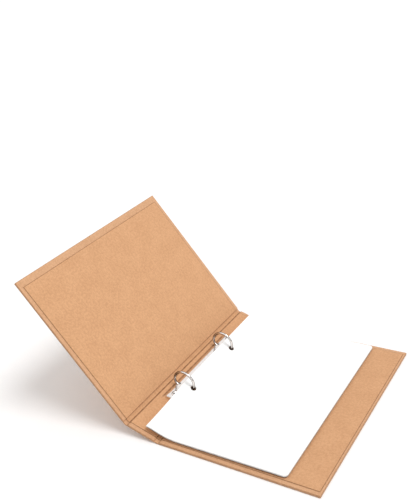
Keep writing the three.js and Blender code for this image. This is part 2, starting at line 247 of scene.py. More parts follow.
def running_length(points):
    lengths = [0.0]
    for before, after in zip(points, points[1:]):
        lengths.append(lengths[-1] + (Vector(after) - Vector(before)).length)
    return lengths


class Surface:
    """Points and faces of a sheet, with a sheet coordinate and an edge share at each point. The
    share marks wear and painted shade on paper, and on metal it is 1 where no painted dark rim is
    laid."""

    def __init__(self):
        self.points, self.sheet, self.edge, self.faces = [], [], [], []

    def column(self, points, sheet, edge=None):
        first = len(self.points)
        self.points += [tuple(p) for p in points]
        self.sheet += sheet
        self.edge += edge or [0.0] * len(points)
        return list(range(first, len(self.points)))

    def bridge(self, columns):
        for left, right in zip(columns, columns[1:]):
            for i in range(len(left) - 1):
                self.faces.append((left[i], right[i], right[i + 1], left[i + 1]))

    def made(self, name, place):
        """The sheet as an object, its double points merged and its mesh put in place."""
        mesh = bpy.data.meshes.new(name)
        mesh.from_pydata(self.points, [], self.faces)
        uv = mesh.uv_layers.new(name="sheet")
        corners = [0] * len(mesh.loops)
        mesh.loops.foreach_get("vertex_index", corners)
        uv.data.foreach_set("uv", [value for i in corners for value in self.sheet[i]])
        mesh.attributes.new("edge", "FLOAT", "POINT").data.foreach_set("value", self.edge)
        bm = bmesh.new()
        bm.from_mesh(mesh)
        bmesh.ops.remove_doubles(bm, verts=bm.verts, dist=1e-6)
        bm.to_mesh(mesh)
        bm.free()
        mesh.transform(place)
        return link(name, mesh)


def link(name, mesh):
    made = bpy.data.objects.new(name, mesh)
    bpy.context.scene.collection.objects.link(made)
    return made


def link_shape(name, bm):
    mesh = bpy.data.meshes.new(name)
    bm.to_mesh(mesh)
    bm.free()
    return link(name, mesh)


def modifier(obj, kind, **values):
    made = obj.modifiers.new(kind.title(), kind)
    for name, value in values.items():
        setattr(made, name, value)
    return made


def settle(obj):
    """Turns an object with its modifiers into one plain mesh."""
    graph = bpy.context.evaluated_depsgraph_get()
    final = bpy.data.meshes.new_from_object(
        obj.evaluated_get(graph), preserve_all_data_layers=True, depsgraph=graph
    )
    obj.modifiers.clear()
    if obj.type == "MESH":
        old, obj.data = obj.data, final
        bpy.data.meshes.remove(old)
        return obj
    name = obj.name
    bpy.data.objects.remove(obj)
    return link(name, final)


def thicken(obj, thickness, offset=-1.0):
    modifier(
        obj, "SOLIDIFY", thickness=thickness, offset=offset, use_even_offset=True,
        use_quality_normals=True,
    )
    return settle(obj)


def cut(obj, cutter):
    modifier(obj, "BOOLEAN", operation="DIFFERENCE", solver="EXACT", object=cutter)
    return settle(obj)


def drop(*objects):
    for obj in objects:
        mesh = obj.data
        bpy.data.objects.remove(obj)
        bpy.data.meshes.remove(mesh)


def finish_piece(obj, material, body=None, replaces=(), sharp=35):
    """Smooth shading, a material, the body it moves with and the nodes it stands for."""
    obj.data.shade_smooth()
    obj.data.set_sharp_from_angle(angle=math.radians(sharp))
    obj.data.materials.clear()
    obj.data.materials.append(material_of(material))
    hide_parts(*replaces)
    if body:
        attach(obj, body)
    return obj


def face_down(surface, face):
    """Turns every face round if this one, which belongs on the underside, looks up."""
    points = [Vector(surface.points[i]) for i in surface.faces[face]]
    area = sum(
        (p.x * q.y - q.x * p.y for p, q in zip(points, points[1:] + points[:1])), 0.0
    )
    if area > 0:
        surface.faces = [tuple(reversed(f)) for f in surface.faces]


def face_up(surface, face):
    """Turns every face round if this one, which belongs on top, looks down."""
    face_down(surface, face)
    surface.faces = [tuple(reversed(f)) for f in surface.faces]


# Shader building


def node(tree, kind, inputs=None, **settings):
    made = tree.nodes.new(kind)
    for name, value in settings.items():
        setattr(made, name, value)
    for name, value in (inputs or {}).items():
        if isinstance(value, bpy.types.NodeSocket):
            tree.links.new(value, made.inputs[name])
        else:
            made.inputs[name].default_value = value
    return made


def math_node(tree, operation, *values):
    return node(
        tree, "ShaderNodeMath", dict(enumerate(values)), operation=operation
    ).outputs[0]


def times(tree, first, second):
    return math_node(tree, "MULTIPLY", first, second)


def between(tree, value, low, high, to_low=0.0, to_high=1.0):
    return node(
        tree, "ShaderNodeMapRange",
        {"Value": value, "From Min": low, "From Max": high, "To Min": to_low, "To Max": to_high},
        interpolation_type="SMOOTHSTEP",
    ).outputs[0]


def mixed(tree, share, first, second):
    return node(
        tree, "ShaderNodeMix", {0: share, 6: first, 7: second}, data_type="RGBA"
    ).outputs[2]


def noise_at(tree, place, scale, detail=2.0, roughness=0.5, distortion=0.0):
    return node(
        tree, "ShaderNodeTexNoise",
        {"Vector": place, "Scale": scale, "Detail": detail, "Roughness": roughness,
         "Distortion": distortion},
    ).outputs["Fac"]


def new_group(name, inputs, outputs):
    tree = bpy.data.node_groups.new(name, "ShaderNodeTree")
    for label, kind, value in inputs:
        socket = tree.interface.new_socket(name=label, in_out="INPUT", socket_type=kind)
        if value is not None:
            socket.default_value = value
    for label, kind in outputs:
        tree.interface.new_socket(name=label, in_out="OUTPUT", socket_type=kind)
    return tree, tree.nodes.new("NodeGroupInput").outputs, tree.nodes.new("NodeGroupOutput").inputs


FLOAT, COLOUR, VECTOR = "NodeSocketFloat", "NodeSocketColor", "NodeSocketVector"


def paper_fibres_group():
    """Pressed fibres: soft clouds, fine grain, short curled fibres and a few dark flecks."""
    tree, given, out = new_group(
        "Paper fibres",
        [
            ("Place", VECTOR, None), ("Paper", COLOUR, (0.7, 0.4, 0.2, 1)),
            ("Dark", COLOUR, (0.4, 0.2, 0.1, 1)), ("Light", COLOUR, (0.9, 0.6, 0.4, 1)),
            ("Cloud", FLOAT, 0.3), ("Grain", FLOAT, 0.3), ("Fibre", FLOAT, 0.5),
            ("Fleck", FLOAT, 0.3),
        ],
        [("Colour", COLOUR), ("Height", FLOAT)],
    )
    place = given["Place"]
    cloud = noise_at(tree, place, 55.0, 3.0, 0.55)
    mottle = noise_at(tree, place, 420.0, 3.0, 0.6)
    grain = noise_at(tree, place, 2600.0, 2.0, 0.6)
    clouds = math_node(
        tree, "ADD", times(tree, between(tree, cloud, 0.3, 0.7), 0.3),
        times(tree, between(tree, mottle, 0.33, 0.67), 0.7),
    )
    dark_share = times(tree, clouds, given["Cloud"])
    colour = mixed(tree, dark_share, given["Paper"], given["Dark"])
    grain_share = times(tree, between(tree, grain, 0.45, 0.75), given["Grain"])
    colour = mixed(tree, grain_share, colour, given["Dark"])
    fibres = []
    for scale, width, shift, target in (
        (520.0, 0.010, (0.0, 0.0, 0.0), "Light"),
        (430.0, 0.008, (0.37, 0.11, 0.4), "Dark"),
        (900.0, 0.014, (0.71, 0.53, 0.8), "Light"),
    ):
        moved = node(
            tree, "ShaderNodeVectorMath", {0: place, 1: shift}, operation="ADD"
        ).outputs[0]
        line = math_node(
            tree, "ABSOLUTE",
            math_node(tree, "SUBTRACT", noise_at(tree, moved, scale, 1.0, 0.4, 1.6), 0.5),
        )
        broken = between(tree, noise_at(tree, moved, scale * 1.7, 0.0), 0.52, 0.62)
        fibre = times(tree, between(tree, line, width, 0.0), broken)
        share = times(tree, fibre, given["Fibre"])
        colour = mixed(tree, share, colour, given[target])
        fibres.append(fibre)
    cells = node(
        tree, "ShaderNodeTexVoronoi", {"Vector": place, "Scale": 480.0, "Randomness": 1.0}
    )
    few = math_node(
        tree, "GREATER_THAN",
        node(tree, "ShaderNodeSeparateColor", {0: cells.outputs["Color"]}).outputs[0], 0.9,
    )
    fleck = times(tree, between(tree, cells.outputs["Distance"], 0.28, 0.12), few)
    colour = mixed(tree, times(tree, fleck, given["Fleck"]), colour, given["Dark"])
    tree.links.new(colour, out["Colour"])
    height = math_node(
        tree, "ADD", times(tree, grain, 0.6),
        times(tree, mottle, 0.4),
    )
    for fibre in fibres:
        height = math_node(tree, "ADD", height, times(tree, fibre, 0.25))
    tree.links.new(height, out["Height"])
    return tree


def edge_wear_and_shade_group():
    """A darker band broken up by noise: wear on folded edges, and painted shade on cut edges, in
    hinge creases and beside the ring cover's foot.
    """
    tree, given, out = new_group(
        "Edge wear and shade",
        [
            ("Place", VECTOR, None), ("Colour", COLOUR, None), ("Worn", COLOUR, None),
            ("Edge", FLOAT, 0.0), ("Amount", FLOAT, 0.5),
        ],
        [("Colour", COLOUR), ("Wear", FLOAT)],
    )
    patches = between(tree, noise_at(tree, given["Place"], 260.0, 3.0, 0.6), 0.35, 0.65, 0.65, 1.0)
    wear_and_shade = times(tree, times(tree, patches, given["Edge"]), given["Amount"])
    tree.links.new(mixed(tree, wear_and_shade, given["Colour"], given["Worn"]), out["Colour"])
    tree.links.new(wear_and_shade, out["Wear"])
    return tree


def handled_metal_group():
    """Soft smears and hairlines on metal, as a roughness and a height."""
    tree, given, out = new_group(
        "Handled metal",
        [
            ("Place", VECTOR, None), ("Smooth", FLOAT, 0.12), ("Dull", FLOAT, 0.3),
            ("Smear size", FLOAT, 90.0), ("Hairlines", FLOAT, 0.3),
        ],
        [("Roughness", FLOAT), ("Height", FLOAT)],
    )
    smear = between(tree, noise_at(tree, given["Place"], given["Smear size"], 4.0, 0.6), 0.35, 0.75)
    drawn = node(
        tree, "ShaderNodeMapping", {"Vector": given["Place"], "Scale": (4000.0, 120.0, 4000.0)}
    ).outputs[0]
    lines = between(tree, noise_at(tree, drawn, 1.0, 2.0), 0.55, 0.8)
    hairline = times(tree, lines, given["Hairlines"])
    share = math_node(tree, "MAXIMUM", smear, hairline)
    span = math_node(tree, "SUBTRACT", given["Dull"], given["Smooth"])
    tree.links.new(
        math_node(tree, "ADD", given["Smooth"], times(tree, span, share)),
        out["Roughness"],
    )
    tree.links.new(hairline, out["Height"])
    return tree


def new_material(name):
    made = bpy.data.materials.new(LOOK + name)
    made.use_nodes = True
    return made, made.node_tree, made.node_tree.nodes["Principled BSDF"]


def group_node(tree, group, inputs):
    return node(tree, "ShaderNodeGroup", inputs, node_tree=group).outputs


def opaque(colour):
    return (*colour, 1.0)


def shade(colour, factor):
    return opaque([min(1.0, channel * f) for channel, f in zip(colour, factor)])


def add_relief(tree, surface, distance, height):
    relief = node(
        tree, "ShaderNodeBump", {"Strength": 1.0, "Distance": distance, "Height": height}
    )
    tree.links.new(relief.outputs[0], surface.inputs["Normal"])


def paper_material(name, groups, colour, dark, light, look, worn_and_shaded, wear_and_shade, bump):
    """Paper on its own sheet coordinate, with worn edges and painted shade where the edge share
    says.
    """
    made, tree, surface = new_material(name)
    place = node(tree, "ShaderNodeUVMap", uv_map="sheet").outputs[0]
    fibres = group_node(
        tree, groups["fibres"],
        {"Place": place, "Paper": opaque(colour), "Dark": shade(colour, dark),
         "Light": shade(colour, light), **look},
    )
    edge = node(tree, "ShaderNodeAttribute", attribute_name="edge").outputs["Fac"]
    edges = group_node(
        tree, groups["wear_and_shade"],
        {"Place": place, "Colour": fibres["Colour"], "Worn": shade(colour, worn_and_shaded),
         "Edge": edge, "Amount": wear_and_shade},
    )
    tree.links.new(edges["Colour"], surface.inputs["Base Color"])
    rough = math_node(
        tree, "ADD", 0.82, times(tree, fibres["Height"], 0.12)
    )
    tree.links.new(rough, surface.inputs["Roughness"])
    surface.inputs["Specular IOR Level"].default_value = 0.25
    surface.inputs["Sheen Weight"].default_value = 0.08
    surface.inputs["Sheen Roughness"].default_value = 0.6
    add_relief(tree, surface, bump, fibres["Height"])
    return made


def board_material(name, groups, colour):
    """Greyboard: grey recycled pulp with coloured flecks, on Object coordinates."""
    made, tree, surface = new_material(name)
    place = node(tree, "ShaderNodeTexCoord").outputs["Object"]
    fibres = group_node(
        tree, groups["fibres"],
        {"Place": place, "Paper": opaque(colour), "Dark": shade(colour, (0.5, 0.48, 0.45)),
         "Light": shade(colour, (1.7, 1.7, 1.7)), "Cloud": 0.35, "Grain": 0.5, "Fibre": 0.7,
         "Fleck": 0.6},
    )
    tree.links.new(fibres["Colour"], surface.inputs["Base Color"])
    surface.inputs["Roughness"].default_value = 0.95
    add_relief(tree, surface, 0.08 * MM, fibres["Height"])
    return made


def metal_material(name, groups, colour, values, bump):
    """Metal with a painted dark reflection on rims turned from the view, except where the edge
    share is 1.
    """
    made, tree, surface = new_material(name)
    place = node(tree, "ShaderNodeTexCoord").outputs["Object"]
    handled = group_node(tree, groups["metal"], {"Place": place, **values})
    tint = between(tree, noise_at(tree, place, 140.0, 3.0), 0.3, 0.7)
    tinted = mixed(tree, tint, opaque(colour), shade(colour, (0.94, 0.925, 0.90)))
    facing = node(tree, "ShaderNodeLayerWeight", {"Blend": 0.5}).outputs["Facing"]
    broad = node(tree, "ShaderNodeAttribute", attribute_name="edge").outputs["Fac"]
    # painted dark reflection: the base colour darkens as the surface turns from the view
    painted_dark_rim = between(tree, facing, 0.16, 0.5, 0.0, 0.95)
    rim = times(tree, painted_dark_rim, math_node(tree, "SUBTRACT", 1.0, broad))
    tree.links.new(
        mixed(tree, rim, tinted, shade(colour, (0.1, 0.085, 0.07))), surface.inputs["Base Color"]
    )
    surface.inputs["Metallic"].default_value = 1.0
    tree.links.new(handled["Roughness"], surface.inputs["Roughness"])
    add_relief(tree, surface, bump, handled["Height"])
    return made


# Covers, spine and hinges


def wrap_section(low, high, settings, start):
    """Inset and level of paper wrapped round a board's edge, from the underside to the turn-in,
    with the length along the paper and an edge share."""
    turns = steps(0, math.pi / 2, 5)
    r = min(settings.edge_radius, (high - low) / 2)
    section = [(start, low)]
    section += [(r - r * math.sin(a), low + r - r * math.cos(a)) for a in turns]
    section += [(r - r * math.cos(a), high - r + r * math.sin(a)) for a in turns]
    section.append((settings.turn_in, high))
    bends = [math.sin(2 * a) ** 0.5 if 0 < a < math.pi / 2 else 0.0 for a in turns]
    edge = [0.0, *bends[:-1], 0.8, 0.8, *bends[1:], 0.0]
    lengths = running_length([(d, z, 0) for d, z in section])
    return section, lengths, edge


def cover_wrap(name, place, settings, sheet_from, direction):
    """The outer paper of a cover: a face, three wrapped edges with mitred corners and a turn-in."""
    surface = Surface()
    start = 4 * MM
    section, lengths, edge = wrap_section(0, WRAP_TOP, settings, start)
    r, step = settings.edge_radius, settings.fold_step
    clear = settings.turn_in + 1 * MM
    columns = []

    def sheet(x, y):
        return (OUTER_SHEET + sheet_from + direction * x, direction * y)

    def add(position, extra, lift, mitre=0.0):
        points, sheets, shares = [], [], []
        for (inset, level), length, bend in zip(section, lengths, edge):
            x, y = position(inset)
            raised = level + lift if inset > r and level > WRAP_TOP / 2 else level
            points.append((x, y, raised))
            sheets.append(extra(x, y, length))
            on_top = inset > r and level > WRAP_TOP / 2
            shares.append(max(bend, mitre) if on_top else bend)
        columns.append(surface.column(points, sheets, shares))

    def along_end(side, xs):
        for x in xs:
            add(
                lambda inset, x=x: (x, side * (HALF_HEIGHT - inset)),
                lambda x, y, s: sheet(x, side * (HALF_HEIGHT - start + s)),
                0.0,
            )

    def corner(side, under):
        """The end's flap comes first where under is true. The fore flap lies on top."""
        at = (COVER_WIDTH - r, side * (HALF_HEIGHT - r))

        def point(inset, turn, back_x=0.0, back_y=0.0):
            if inset <= r:
                reach = r - inset
                return (
                    at[0] + reach * math.sin(turn) - back_x,
                    at[1] + side * reach * math.cos(turn) - side * back_y,
                )
            return (COVER_WIDTH - inset - back_x, side * (HALF_HEIGHT - inset - back_y))

        def end_sheet(x, y, s):
            return sheet(x, side * (HALF_HEIGHT - start + s))

        def fore_sheet(x, y, s):
            return sheet(COVER_WIDTH - start + s, y)

        made = [
            (lambda inset: point(inset, 0, back_x=0.6 * MM), end_sheet, 0.0, 0.0),
            *[
                (lambda inset, turn=turn: point(inset, turn), end_sheet, 0.0, 1.0)
                for turn in steps(0, math.pi / 2, 4)
            ],
            (lambda inset: point(inset, math.pi / 2, back_y=0.12 * MM), fore_sheet, step, 0.0),
        ]
        for position, extra, lift, mitre in made if under else made[::-1]:
            add(position, extra, lift, mitre)

    flats = steps(OVERLAP, COVER_WIDTH - clear, 12)
    along_end(-1, flats)
    corner(-1, True)
    for y in steps(-HALF_HEIGHT + clear, HALF_HEIGHT - clear, 12):
        add(
            lambda inset, y=y: (COVER_WIDTH - inset, y),
            lambda x, y, s: sheet(COVER_WIDTH - start + s, y),
            0.0,
        )
    corner(1, False)
    along_end(1, flats[::-1])
    surface.bridge(columns)
    underside = []
    for column in reversed(columns):
        point = surface.points[column[0]]
        if not underside or (Vector(surface.points[underside[-1]]) - Vector(point)).length > 1e-6:
            underside.append(column[0])
    surface.faces.append(tuple(underside))
    face_down(surface, -1)
    return thicken(surface.made(name, place), settings.paper)


def strip_wrap(name, place, settings, stations, sheet_from):
    """Outer paper along the height with both ends turned in. Each station is a point's X, its low
    and high level, its share of painted crease shade, and a map from flat to folded."""
    surface = Surface()
    start = 4 * MM
    columns = []
    for x, low, high, crease_shade, fold in stations:
        section, lengths, edge = wrap_section(low, high, settings, start)
        edge = [max(e, crease_shade) if z > (low + high) / 2 else e for e, (_, z) in zip(edge, section)]
        near = [(x, -HALF_HEIGHT + d, z) for d, z in section]
        far = [(x, HALF_HEIGHT - d, z) for d, z in section]
        reach = [HALF_HEIGHT - start + s for s in lengths]
        points = [fold(Vector(p)) for p in near[::-1] + far]
        sheets = [(OUTER_SHEET + sheet_from + x, -s) for s in reach[::-1]]
        sheets += [(OUTER_SHEET + sheet_from + x, s) for s in reach]
        columns.append(surface.column(points, sheets, edge[::-1] + edge))
    surface.bridge(columns)
    middle = len(wrap_section(0, WRAP_TOP, settings, start)[0]) - 1
    face_down(surface, middle)
    return thicken(surface.made(name, place), settings.paper)


def lining_level(settings, x, y, base, width):
    """Level of the lining's upper face: it rises over the turn-in and rolls down at its cut edges.
    x and width are from the hinge edge, or width is None."""
    to_end = HALF_HEIGHT - abs(y)
    to_fore = math.inf if width is None else COVER_WIDTH - x
    to_turn_in = min(to_end, to_fore) - settings.turn_in
    rise = settings.liner_step * (1 - smooth(to_turn_in, -0.5 * MM, 0.7 * MM))
    to_cut = min(HALF_LINER - abs(y), math.inf if width is None else width - x)
    roll = 0.12 * MM * (1 - smooth(to_cut, 0, 0.45 * MM))
    return base + rise - roll


def cut_shade(y, to_fore=math.inf):
    """Share of the dark line along a lining's cut edges."""
    return 1 - smooth(min(HALF_LINER - abs(y), to_fore), 0.3 * MM, 0.65 * MM)


def cut_lines(edge, turn_in_at, inner, spacing):
    """Grid lines from a cut edge inwards, close together there and over the turn-in's step."""
    lines = [edge - d * MM for d in (0, 0.12, 0.28, 0.45, 0.65, 1.2)]
    lines += [turn_in_at - d * MM for d in (-0.9, -0.5, -0.1, 0.3, 0.7, 1.3)]
    count = max(1, round((lines[-1] - inner) / spacing))
    return lines + steps(lines[-1], inner, count)[1:]


def cover_lining(name, place, settings, width, sheet_from, direction):
    """The lining of a cover, from near the hinge edge to its cut fore edge."""
    surface = Surface()
    xs = cut_lines(width, COVER_WIDTH - settings.turn_in, OVERLAP, 6 * MM)[::-1]
    ends = cut_lines(HALF_LINER, HALF_HEIGHT - settings.turn_in, 0, 6 * MM)
    ys = [-y for y in ends[:-1]] + ends[::-1]
    columns = []
    for x in xs:
        points, sheets = [], []
        for y in ys:
            level = lining_level(settings, x, y, LINER_TOP, width)
            calm = smooth(x, 3 * MM, 25 * MM) * smooth(width - x, 2 * MM, 12 * MM)
            calm *= smooth(HALF_LINER - abs(y), 2 * MM, 14 * MM)
            wave = noise.noise(Vector((direction * x, y, sheet_from)) * 26)
            points.append((x, y, level + settings.cockle * calm * wave))
            sheets.append((sheet_from + direction * x, direction * y))
        columns.append(surface.column(points, sheets, [cut_shade(y, width - x) for y in ys]))
    surface.bridge(columns)
    face_up(surface, 0)
    return thicken(surface.made(name, place), settings.paper)


def strip_lining(name, place, settings, stations, sheet_from):
    """Lining along the height, across the spine or a hinge."""
    surface = Surface()
    ends = cut_lines(HALF_LINER, HALF_HEIGHT - settings.turn_in, 0, 8 * MM)
    ys = [-y for y in ends[:-1]] + ends[::-1]
    columns = []
    for x, level, crease_shade, fold in stations:
        points = [fold(Vector((x, y, lining_level(settings, x, y, level, None)))) for y in ys]
        # each station's share along Y is painted shade: a hinge crease or the ring cover's shadow
        edge = [max(crease_shade(y), cut_shade(y)) for y in ys]
        columns.append(surface.column(points, [(sheet_from + x, y) for y in ys], edge))
    surface.bridge(columns)
    face_up(surface, 0)
    return thicken(surface.made(name, place), settings.paper)


FOLD_FROM, FOLD_TO = 3.5 * MM, -0.6 * MM  # the papers of a hinge bend between these
HINGE_STEPS = 55  # grid steps across a hinge
RECESS = 2.4 * MM, 4.6 * MM  # the pressed-in groove runs out between these
LINING_OVER_WRAP = 0.35 * MM  # in the groove
# From the hinge axis: where the inner face climbs to the board, where a painted crease shade sets
# in and where it ends, and the shade's strength. The right side is +X.
RIGHT_OF_HINGE = (3.6 * MM, 4.2 * MM), (2.0 * MM, 2.5 * MM), (4.2 * MM, 4.7 * MM), 1.0
LEFT_OF_HINGE = (2.6 * MM, 3.4 * MM), (2.0 * MM, 2.4 * MM), (2.8 * MM, 3.2 * MM), 0.6


def hinge_fold(fold):
    """Folds a flat point of a hinge, whose X and Z are from the hinge axis, as the joint does."""
    def folded(point):
        share = smooth(-point.x, -FOLD_FROM, -FOLD_TO)
        return Matrix.Rotation(share * fold, 3, "Y") @ point
    return folded


def hinge_levels(settings, x):
    """Outer and inner level of the wrap, lining level and painted crease shade across a hinge."""
    reach = abs(x)
    climb, sets_in, ends, strength = RIGHT_OF_HINGE if x > 0 else LEFT_OF_HINGE
    shoulder = smooth(reach, *climb)
    # painted shade in the hinge's crease
    crease_shade = strength * smooth(reach, *sets_in) * (1 - smooth(reach, *ends))
    low = settings.groove_recess * (1 - smooth(reach, *RECESS))
    high = low + settings.groove_fill
    middle = low + settings.groove_fill + LINING_OVER_WRAP
    return (
        low,
        high + (WRAP_TOP - high) * shoulder,
        middle + (LINER_TOP - middle) * shoulder,
        crease_shade,
    )


def make_hinge(prefix, place, fold, settings, sheet_from):
    """The two papers of one hinge, built folded between the bodies that they join."""
    folded = hinge_fold(fold)
    down = Vector((0, 0, PIVOT_LEVEL))
    reach = HALF_GROOVE + OVERLAP
    xs = steps(reach, -reach, HINGE_STEPS)
    wraps, linings = [], []
    for x in xs:
        low, high, lining, crease_shade = hinge_levels(settings, x)
        wraps.append((x, low, high, crease_shade, lambda p: folded(p - down)))
        linings.append((x, lining, lambda y, share=crease_shade: share, lambda p: folded(p - down)))
    paper = strip_wrap(prefix + "_hinge_outer", place, settings, wraps, sheet_from)
    lining = strip_lining(prefix + "_hinge_lining", place, settings, linings, sheet_from)
    for obj, material, stood_for in (
        (paper, "kraft_cover", prefix + "_hinge_paper"),
        (lining, "kraft_lining", prefix + "_hinge_liner"),
    ):
        finish_piece(obj, material, replaces=[stood_for])
        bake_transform(obj)


def rods(name, place, centres, radius, low, high, sides=32):
    """Upright cutting rods at these centres."""
    bm = bmesh.new()
    for x, y in centres:
        bmesh.ops.create_cone(
            bm, cap_ends=True, segments=sides, radius1=radius, radius2=radius, depth=high - low,
            matrix=Matrix.Translation((x, y, (low + high) / 2)),
        )
    made = link_shape(name, bm)
    made.data.transform(place)
    return made


# Geometry Nodes


def new_geometry_tree(name, inputs):
    tree = bpy.data.node_groups.new(name, "GeometryNodeTree")
    tree.interface.new_socket(name="Geometry", in_out="INPUT", socket_type="NodeSocketGeometry")
    for label, kind in inputs:
        tree.interface.new_socket(name=label, in_out="INPUT", socket_type=kind)
    tree.interface.new_socket(name="Geometry", in_out="OUTPUT", socket_type="NodeSocketGeometry")
    return tree, tree.nodes.new("NodeGroupInput").outputs, tree.nodes.new("NodeGroupOutput").inputs


def run_geometry(obj, tree, values):
    """Runs a tree on an object with these values for its named inputs, and keeps the mesh."""
    made = obj.modifiers.new("Nodes", "NODES")
    made.node_group = tree
    for item in tree.interface.items_tree:
        if item.item_type == "SOCKET" and item.in_out == "INPUT" and item.name in values:
            made[item.identifier] = values[item.name]
    return settle(obj)


def two_places(tree, given, geometry):
    """Copies of a geometry at two places along Y, made real and coloured."""
    half = times(tree, given["Spacing"], 0.5)
    ends = [
        node(tree, "ShaderNodeCombineXYZ", {"Y": value}).outputs[0]
        for value in (times(tree, half, -1.0), half)
    ]
    line = node(
        tree, "GeometryNodeMeshLine",
        {"Count": 2, "Start Location": ends[0], "Offset": ends[1]}, mode="END_POINTS",
    )
    placed = node(
        tree, "GeometryNodeInstanceOnPoints", {"Points": line.outputs[0], "Instance": geometry}
    )
    real = node(tree, "GeometryNodeRealizeInstances", {"Geometry": placed.outputs[0]})
    return node(
        tree, "GeometryNodeSetMaterial",
        {"Geometry": real.outputs[0], "Material": given["Material"]},
    ).outputs[0]


def wire_rings_tree():
    """Round wire along a centre line, once at each ring."""
    tree, given, out = new_geometry_tree(
        "Wire rings",
        [
            ("Wire radius", FLOAT), ("Sides", "NodeSocketInt"), ("Spacing", FLOAT),
            ("Material", "NodeSocketMaterial"),
        ],
    )
    section = node(
        tree, "GeometryNodeCurvePrimitiveCircle",
        {"Resolution": given["Sides"], "Radius": given["Wire radius"]}, mode="RADIUS",
    )
    wire = node(
        tree, "GeometryNodeCurveToMesh",
        {"Curve": given["Geometry"], "Profile Curve": section.outputs[0], "Fill Caps": True},
    )
    tree.links.new(two_places(tree, given, wire.outputs[0]), out["Geometry"])
    return tree


def rivet_pair_tree():
    """One rivet, copied to both ends of the ring mechanism."""
    tree, given, out = new_geometry_tree(
        "Rivet pair",
        [("Spacing", FLOAT), ("Material", "NodeSocketMaterial")],
    )
    tree.links.new(two_places(tree, given, given["Geometry"]), out["Geometry"])
    return tree


# Ring mechanism


def shield_section(half_width, height, shoulder):
    """Half-round section of the metal cover, from foot to foot."""
    arch = [
        (half_width * math.cos(a), shoulder + (height - shoulder) * math.sin(a) ** 0.9)
        for a in steps(0, math.pi, 36)
    ]
    return [(half_width, 0.0), (half_width, shoulder / 2), *arch,
            (-half_width, shoulder / 2), (-half_width, 0.0)]


def ring_shield(settings):
    surface = Surface()
    end = settings.shield_length / 2
    half, height = settings.shield_width / 2, settings.shield_height
    shoulder, slope = SHIELD_SHOULDER, SHIELD_END_SLOPE
    columns = []
    falls = [1 - (1 - i / 10) ** 1.6 for i in range(11)]
    stations = [-end + slope * (1 - f) for f in falls][::-1]
    ys = stations + steps(-end + slope, end - slope, 60)[1:-1] + [-y for y in stations[::-1]]
    for y in ys:
        into = max(0.0, (abs(y) - (end - slope)) / slope)
        top = shoulder + (height - shoulder) * math.sqrt(max(0.0, 1 - 0.97 * into**2.2))
        wide = half - 1.1 * MM * (1 - math.sqrt(max(0.0, 1 - into**2)))
        points = [(x, y, z) for x, z in shield_section(wide, top, shoulder)]
        columns.append(surface.column(points, [(x, y) for x, y, _ in points], [1.0] * len(points)))
    for first, where in ((True, 0), (False, -1)):
        rim = [surface.points[i] for i in columns[where]]
        foot = surface.column(
            [(x, y, 0.0) for x, y, _ in rim], [(x, y) for x, y, _ in rim], [1.0] * len(rim)
        )
        columns.insert(0, foot) if first else columns.append(foot)
    surface.bridge(columns)
    shell = surface.made("ring_cover", Matrix.Identity(4))
    bm = bmesh.new()
    bm.from_mesh(shell.data)
    bmesh.ops.recalc_face_normals(bm, faces=bm.faces)
    top = max(bm.faces, key=lambda f: f.calc_center_median().z)
    if top.normal.z < 0:
        bmesh.ops.reverse_faces(bm, faces=bm.faces)
    bm.to_mesh(shell.data)
    bm.free()
    thicken(shell, settings.shield_wall)
    slot = settings.wire_radius + 0.35 * MM
    inner = 4.2 * MM + slot
    slots = rods(
        "slots", Matrix.Identity(4),
        [(side * inner, end * RING_SPACING / 2) for side in (-1, 1) for end in (-1, 1)],
        slot, 1.5 * MM, 12 * MM,
    )
    bm = bmesh.new()
    for side in (-1, 1):
        for along in (-1, 1):
            centre = (side * (inner + 3 * MM), along * RING_SPACING / 2, 6.75 * MM)
            size = Matrix.Diagonal((6 * MM, 2 * slot, 10.5 * MM, 1))
            bmesh.ops.create_cube(bm, size=1.0, matrix=Matrix.Translation(centre) @ size)
    boxes = link_shape("slot_boxes", bm)
    holes = rods(
        "holes", Matrix.Identity(4), [(0, -RIVET_SPACING / 2), (0, RIVET_SPACING / 2)],
        PIERCED_RADIUS, 2 * MM, 9 * MM,
    )
    for cutter in (slots, boxes, holes):
        cut(shell, cutter)
    drop(slots, boxes, holes)
    modifier(
        shell, "BEVEL", width=0.12 * MM, segments=2, limit_method="ANGLE",
        angle_limit=math.radians(50),
    )
    settle(shell)
    shell.data.transform(RING_FRAME)
    return shell


def half_ring_line(settings, hand):
    """Middle of half a ring's wire, from its tip round to its foot on the blade."""
    radius = settings.ring_radius
    centre = RING_HEIGHT - SHIELD_FOOT
    leaves = math.radians(-28)
    tip = math.pi / 2 - settings.tip_gap / 2 / radius
    line = [
        (radius * math.cos(a), centre + radius * math.sin(a)) for a in steps(tip, leaves, 44)
    ]
    foot = BLADE_TOP + GLUE + settings.wire_radius
    start = line[-1]
    corner = (start[0] - (foot - start[1]) * math.tan(leaves), foot)
    end = (4.6 * MM, foot)
    for u in steps(0, 1, 12)[1:]:
        line.append(tuple(
            (1 - u) ** 2 * a + 2 * u * (1 - u) * b + u * u * c
            for a, b, c in zip(start, corner, end)
        ))
    return [(hand * x, 0.0, z) for x, z in line]


def wire_curve(name, points, tip_chamfer=0.8):
    """A poly curve through the points, slightly thinner at its first point, the tip."""
    curve = bpy.data.curves.new(name, "CURVE")
    curve.dimensions = "3D"
    spline = curve.splines.new("POLY")
    first, second = Vector(points[0]), Vector(points[1])
    near = first.lerp(second, 0.15 * MM / (second - first).length)
    points = [points[0], tuple(near), *points[1:]]
    spline.points.add(len(points) - 1)
    for i, point in enumerate(points):
        spline.points[i].co = (*point, 1.0)
        spline.points[i].radius = tip_chamfer if i == 0 else 1.0
    made = bpy.data.objects.new(name, curve)
    bpy.context.scene.collection.objects.link(made)
    return made


